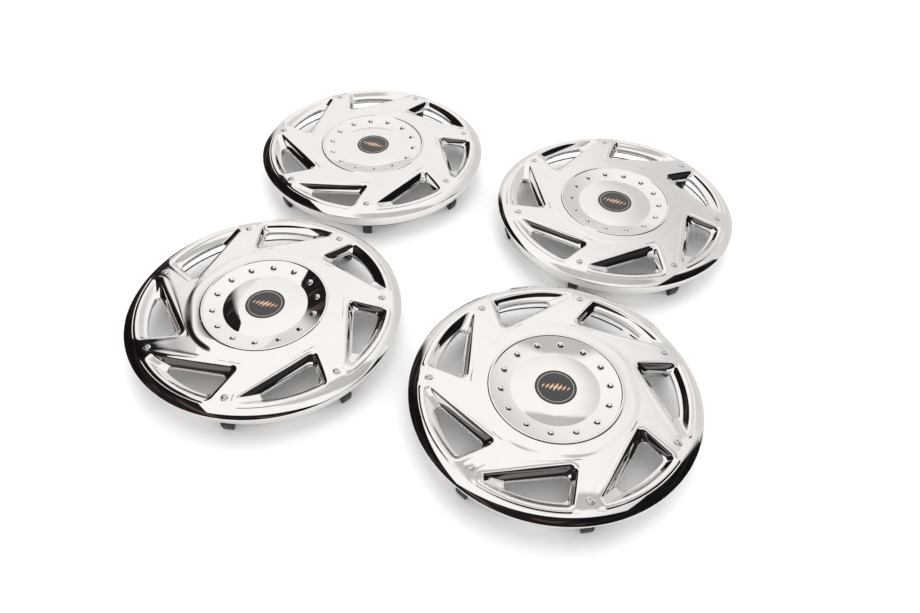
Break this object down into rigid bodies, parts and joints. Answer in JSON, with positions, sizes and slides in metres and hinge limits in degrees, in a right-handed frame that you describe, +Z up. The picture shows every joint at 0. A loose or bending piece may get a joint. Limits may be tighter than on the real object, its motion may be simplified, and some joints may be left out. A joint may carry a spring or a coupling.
{
  "type": "wheel cover set",
  "caption": "Set of round chrome-plated wheel covers with swept vent windows, screwed-on sprung clips, a spring wire ring and a dark centre badge, lying face up.",
  "frame": {"origin": "centre of the four covers' overall box, on the floor that the clips stand on", "axes": "+Z up, out of the covers' faces; +X to the right and +Y away from a viewer who stands in front of the two front covers"},
  "size_m": [0.9872, 0.981, 0.0583],
  "materials": {
    "chrome_plate": "mirror chrome plating on a plastic moulding",
    "badge": "gloss charcoal",
    "screw_steel": "bright plated",
    "spring_wire": "black oxide",
    "clip_plastic": "moulded black nylon"
  },
  "bodies": {
    "front_left_cover": {"front_left_face": "chrome_plate", "front_left_badge": "badge", "front_left_screws": "screw_steel", "front_left_spring_ring": "spring_wire"},
    "front_left_clip_1": {"front_left_clip_1": "clip_plastic"},
    "front_left_clip_2": {"front_left_clip_2": "clip_plastic"},
    "front_left_clip_3": {"front_left_clip_3": "clip_plastic"},
    "front_left_clip_4": {"front_left_clip_4": "clip_plastic"},
    "front_left_clip_5": {"front_left_clip_5": "clip_plastic"},
    "front_left_clip_6": {"front_left_clip_6": "clip_plastic"},
    "front_left_clip_7": {"front_left_clip_7": "clip_plastic"},
    "front_right_cover": {"front_right_face": "chrome_plate", "front_right_badge": "badge", "front_right_screws": "screw_steel", "front_right_spring_ring": "spring_wire"},
    "front_right_clip_1": {"front_right_clip_1": "clip_plastic"},
    "front_right_clip_2": {"front_right_clip_2": "clip_plastic"},
    "front_right_clip_3": {"front_right_clip_3": "clip_plastic"},
    "front_right_clip_4": {"front_right_clip_4": "clip_plastic"},
    "front_right_clip_5": {"front_right_clip_5": "clip_plastic"},
    "front_right_clip_6": {"front_right_clip_6": "clip_plastic"},
    "front_right_clip_7": {"front_right_clip_7": "clip_plastic"},
    "rear_left_cover": {"rear_left_face": "chrome_plate", "rear_left_badge": "badge", "rear_left_screws": "screw_steel", "rear_left_spring_ring": "spring_wire"},
    "rear_left_clip_1": {"rear_left_clip_1": "clip_plastic"},
    "rear_left_clip_2": {"rear_left_clip_2": "clip_plastic"},
    "rear_left_clip_3": {"rear_left_clip_3": "clip_plastic"},
    "rear_left_clip_4": {"rear_left_clip_4": "clip_plastic"},
    "rear_left_clip_5": {"rear_left_clip_5": "clip_plastic"},
    "rear_left_clip_6": {"rear_left_clip_6": "clip_plastic"},
    "rear_left_clip_7": {"rear_left_clip_7": "clip_plastic"},
    "rear_right_cover": {"rear_right_face": "chrome_plate", "rear_right_badge": "badge", "rear_right_screws": "screw_steel", "rear_right_spring_ring": "spring_wire"},
    "rear_right_clip_1": {"rear_right_clip_1": "clip_plastic"},
    "rear_right_clip_2": {"rear_right_clip_2": "clip_plastic"},
    "rear_right_clip_3": {"rear_right_clip_3": "clip_plastic"},
    "rear_right_clip_4": {"rear_right_clip_4": "clip_plastic"},
    "rear_right_clip_5": {"rear_right_clip_5": "clip_plastic"},
    "rear_right_clip_6": {"rear_right_clip_6": "clip_plastic"},
    "rear_right_clip_7": {"rear_right_clip_7": "clip_plastic"}
  },
  "joints": [
    {"name": "rear_right_lift", "type": "slide", "parent": "front_left_cover", "child": "rear_right_cover", "axis": [0, 0, 1], "range_m": [0, 0.25]},
    {"name": "rear_left_lift", "type": "slide", "parent": "front_left_cover", "child": "rear_left_cover", "axis": [0, 0, 1], "range_m": [0, 0.25]},
    {"name": "front_right_lift", "type": "slide", "parent": "front_left_cover", "child": "front_right_cover", "axis": [0, 0, 1], "range_m": [0, 0.25]},
    {"name": "front_left_clip_1_flex", "type": "hinge", "parent": "front_left_cover", "child": "front_left_clip_1", "pos_m": [-0.11293, -0.12402, 0.0518], "axis": [-0.1236, 0.9923, 0], "range_deg": [0, 3], "stiffness_Nm_per_rad": 10},
    {"name": "front_left_clip_2_flex", "type": "hinge", "parent": "front_left_cover", "child": "front_left_clip_2", "pos_m": [-0.19428, 0.00215, 0.0518], "axis": [-0.8529, 0.5221, 0], "range_deg": [0, 3], "stiffness_Nm_per_rad": 10},
    {"name": "front_left_clip_3_flex", "type": "hinge", "parent": "front_left_cover", "child": "front_left_clip_3", "pos_m": [-0.34365, 0.01721, 0.0518], "axis": [-0.9399, -0.3413, 0], "range_deg": [0, 3], "stiffness_Nm_per_rad": 10},
    {"name": "front_left_clip_4_flex", "type": "hinge", "parent": "front_left_cover", "child": "front_left_clip_4", "pos_m": [-0.44855, -0.09018, 0.0518], "axis": [-0.3192, -0.9477, 0], "range_deg": [0, 3], "stiffness_Nm_per_rad": 10},
    {"name": "front_left_clip_5_flex", "type": "hinge", "parent": "front_left_cover", "child": "front_left_clip_5", "pos_m": [-0.43, -0.23915, 0.0518], "axis": [0.5419, -0.8404, 0], "range_deg": [0, 3], "stiffness_Nm_per_rad": 10},
    {"name": "front_left_clip_6_flex", "type": "hinge", "parent": "front_left_cover", "child": "front_left_clip_6", "pos_m": [-0.30195, -0.31753, 0.0518], "axis": [0.995, -0.1003, 0], "range_deg": [0, 3], "stiffness_Nm_per_rad": 10},
    {"name": "front_left_clip_7_flex", "type": "hinge", "parent": "front_left_cover", "child": "front_left_clip_7", "pos_m": [-0.16084, -0.26629, 0.0518], "axis": [0.6988, 0.7153, 0], "range_deg": [0, 3], "stiffness_Nm_per_rad": 10},
    {"name": "front_right_clip_1_flex", "type": "hinge", "parent": "front_right_cover", "child": "front_right_clip_1", "pos_m": [0.31407, -0.21279, 0.0518], "axis": [-0.3971, 0.9178, 0], "range_deg": [0, 3], "stiffness_Nm_per_rad": 10},
    {"name": "front_right_clip_2_flex", "type": "hinge", "parent": "front_right_cover", "child": "front_right_clip_2", "pos_m": [0.20058, -0.11453, 0.0518], "axis": [-0.9651, 0.2617, 0], "range_deg": [0, 3], "stiffness_Nm_per_rad": 10},
    {"name": "front_right_clip_3_flex", "type": "hinge", "parent": "front_right_cover", "child": "front_right_clip_3", "pos_m": [0.05299, -0.142, 0.0518], "axis": [-0.8064, -0.5914, 0], "range_deg": [0, 3], "stiffness_Nm_per_rad": 10},
    {"name": "front_right_clip_4_flex", "type": "hinge", "parent": "front_right_cover", "child": "front_right_clip_4", "pos_m": [-0.01756, -0.27451, 0.0518], "axis": [-0.0404, -0.9992, 0], "range_deg": [0, 3], "stiffness_Nm_per_rad": 10},
    {"name": "front_right_clip_5_flex", "type": "hinge", "parent": "front_right_cover", "child": "front_right_clip_5", "pos_m": [0.04206, -0.41229, 0.0518], "axis": [0.756, -0.6546, 0], "range_deg": [0, 3], "stiffness_Nm_per_rad": 10},
    {"name": "front_right_clip_6_flex", "type": "hinge", "parent": "front_right_cover", "child": "front_right_clip_6", "pos_m": [0.18695, -0.45158, 0.0518], "axis": [0.9831, 0.183, 0], "range_deg": [0, 3], "stiffness_Nm_per_rad": 10},
    {"name": "front_right_clip_7_flex", "type": "hinge", "parent": "front_right_cover", "child": "front_right_clip_7", "pos_m": [0.30801, -0.36279, 0.0518], "axis": [0.4699, 0.8827, 0], "range_deg": [0, 3], "stiffness_Nm_per_rad": 10},
    {"name": "rear_left_clip_1_flex", "type": "hinge", "parent": "rear_left_cover", "child": "rear_left_clip_1", "pos_m": [0.00189, 0.32744, 0.0518], "axis": [-0.2656, 0.9641, 0], "range_deg": [0, 3], "stiffness_Nm_per_rad": 10},
    {"name": "rear_left_clip_2_flex", "type": "hinge", "parent": "rear_left_cover", "child": "rear_left_clip_2", "pos_m": [-0.09683, 0.44054, 0.0518], "axis": [-0.9193, 0.3935, 0], "range_deg": [0, 3], "stiffness_Nm_per_rad": 10},
    {"name": "rear_left_clip_3_flex", "type": "hinge", "parent": "rear_left_cover", "child": "rear_left_clip_3", "pos_m": [-0.2468, 0.43388, 0.0518], "axis": [-0.8808, -0.4734, 0], "range_deg": [0, 3], "stiffness_Nm_per_rad": 10},
    {"name": "rear_left_clip_4_flex", "type": "hinge", "parent": "rear_left_cover", "child": "rear_left_clip_4", "pos_m": [-0.3351, 0.31248, 0.0518], "axis": [-0.179, -0.9838, 0], "range_deg": [0, 3], "stiffness_Nm_per_rad": 10},
    {"name": "rear_left_clip_5_flex", "type": "hinge", "parent": "rear_left_cover", "child": "rear_left_clip_5", "pos_m": [-0.29524, 0.16774, 0.0518], "axis": [0.6576, -0.7534, 0], "range_deg": [0, 3], "stiffness_Nm_per_rad": 10},
    {"name": "rear_left_clip_6_flex", "type": "hinge", "parent": "rear_left_cover", "child": "rear_left_clip_6", "pos_m": [-0.15723, 0.10867, 0.0518], "axis": [0.999, 0.0444, 0], "range_deg": [0, 3], "stiffness_Nm_per_rad": 10},
    {"name": "rear_left_clip_7_flex", "type": "hinge", "parent": "rear_left_cover", "child": "rear_left_clip_7", "pos_m": [-0.02499, 0.17974, 0.0518], "axis": [0.5882, 0.8087, 0], "range_deg": [0, 3], "stiffness_Nm_per_rad": 10},
    {"name": "rear_right_clip_1_flex", "type": "hinge", "parent": "rear_right_cover", "child": "rear_right_clip_1", "pos_m": [0.41867, 0.24904, 0.0518], "axis": [-0.632, 0.7749, 0], "range_deg": [0, 3], "stiffness_Nm_per_rad": 10},
    {"name": "rear_right_clip_2_flex", "type": "hinge", "parent": "rear_right_cover", "child": "rear_right_clip_2", "pos_m": [0.2827, 0.31269, 0.0518], "axis": [-0.9999, -0.011, 0], "range_deg": [0, 3], "stiffness_Nm_per_rad": 10},
    {"name": "rear_right_clip_3_flex", "type": "hinge", "parent": "rear_right_cover", "child": "rear_right_clip_3", "pos_m": [0.14817, 0.24607, 0.0518], "axis": [-0.6149, -0.7886, 0], "range_deg": [0, 3], "stiffness_Nm_per_rad": 10},
    {"name": "rear_right_clip_4_flex", "type": "hinge", "parent": "rear_right_cover", "child": "rear_right_clip_4", "pos_m": [0.11637, 0.09936, 0.0518], "axis": [0.2332, -0.9724, 0], "range_deg": [0, 3], "stiffness_Nm_per_rad": 10},
    {"name": "rear_right_clip_5_flex", "type": "hinge", "parent": "rear_right_cover", "child": "rear_right_clip_5", "pos_m": [0.21125, -0.01698, 0.0518], "axis": [0.9057, -0.424, 0], "range_deg": [0, 3], "stiffness_Nm_per_rad": 10},
    {"name": "rear_right_clip_6_flex", "type": "hinge", "parent": "rear_right_cover", "child": "rear_right_clip_6", "pos_m": [0.36137, -0.01533, 0.0518], "axis": [0.8962, 0.4437, 0], "range_deg": [0, 3], "stiffness_Nm_per_rad": 10},
    {"name": "rear_right_clip_7_flex", "type": "hinge", "parent": "rear_right_cover", "child": "rear_right_clip_7", "pos_m": [0.45367, 0.10306, 0.0518], "axis": [0.2118, 0.9773, 0], "range_deg": [0, 3], "stiffness_Nm_per_rad": 10}
  ],
  "couplings": [
    {"joint": "front_left_clip_2_flex", "follows": "front_left_clip_1_flex", "ratio": 1},
    {"joint": "front_left_clip_3_flex", "follows": "front_left_clip_1_flex", "ratio": 1},
    {"joint": "front_left_clip_4_flex", "follows": "front_left_clip_1_flex", "ratio": 1},
    {"joint": "front_left_clip_5_flex", "follows": "front_left_clip_1_flex", "ratio": 1},
    {"joint": "front_left_clip_6_flex", "follows": "front_left_clip_1_flex", "ratio": 1},
    {"joint": "front_left_clip_7_flex", "follows": "front_left_clip_1_flex", "ratio": 1},
    {"joint": "front_right_clip_2_flex", "follows": "front_right_clip_1_flex", "ratio": 1},
    {"joint": "front_right_clip_3_flex", "follows": "front_right_clip_1_flex", "ratio": 1},
    {"joint": "front_right_clip_4_flex", "follows": "front_right_clip_1_flex", "ratio": 1},
    {"joint": "front_right_clip_5_flex", "follows": "front_right_clip_1_flex", "ratio": 1},
    {"joint": "front_right_clip_6_flex", "follows": "front_right_clip_1_flex", "ratio": 1},
    {"joint": "front_right_clip_7_flex", "follows": "front_right_clip_1_flex", "ratio": 1},
    {"joint": "rear_left_clip_2_flex", "follows": "rear_left_clip_1_flex", "ratio": 1},
    {"joint": "rear_left_clip_3_flex", "follows": "rear_left_clip_1_flex", "ratio": 1},
    {"joint": "rear_left_clip_4_flex", "follows": "rear_left_clip_1_flex", "ratio": 1},
    {"joint": "rear_left_clip_5_flex", "follows": "rear_left_clip_1_flex", "ratio": 1},
    {"joint": "rear_left_clip_6_flex", "follows": "rear_left_clip_1_flex", "ratio": 1},
    {"joint": "rear_left_clip_7_flex", "follows": "rear_left_clip_1_flex", "ratio": 1},
    {"joint": "rear_right_clip_2_flex", "follows": "rear_right_clip_1_flex", "ratio": 1},
    {"joint": "rear_right_clip_3_flex", "follows": "rear_right_clip_1_flex", "ratio": 1},
    {"joint": "rear_right_clip_4_flex", "follows": "rear_right_clip_1_flex", "ratio": 1},
    {"joint": "rear_right_clip_5_flex", "follows": "rear_right_clip_1_flex", "ratio": 1},
    {"joint": "rear_right_clip_6_flex", "follows": "rear_right_clip_1_flex", "ratio": 1},
    {"joint": "rear_right_clip_7_flex", "follows": "rear_right_clip_1_flex", "ratio": 1}
  ]
}
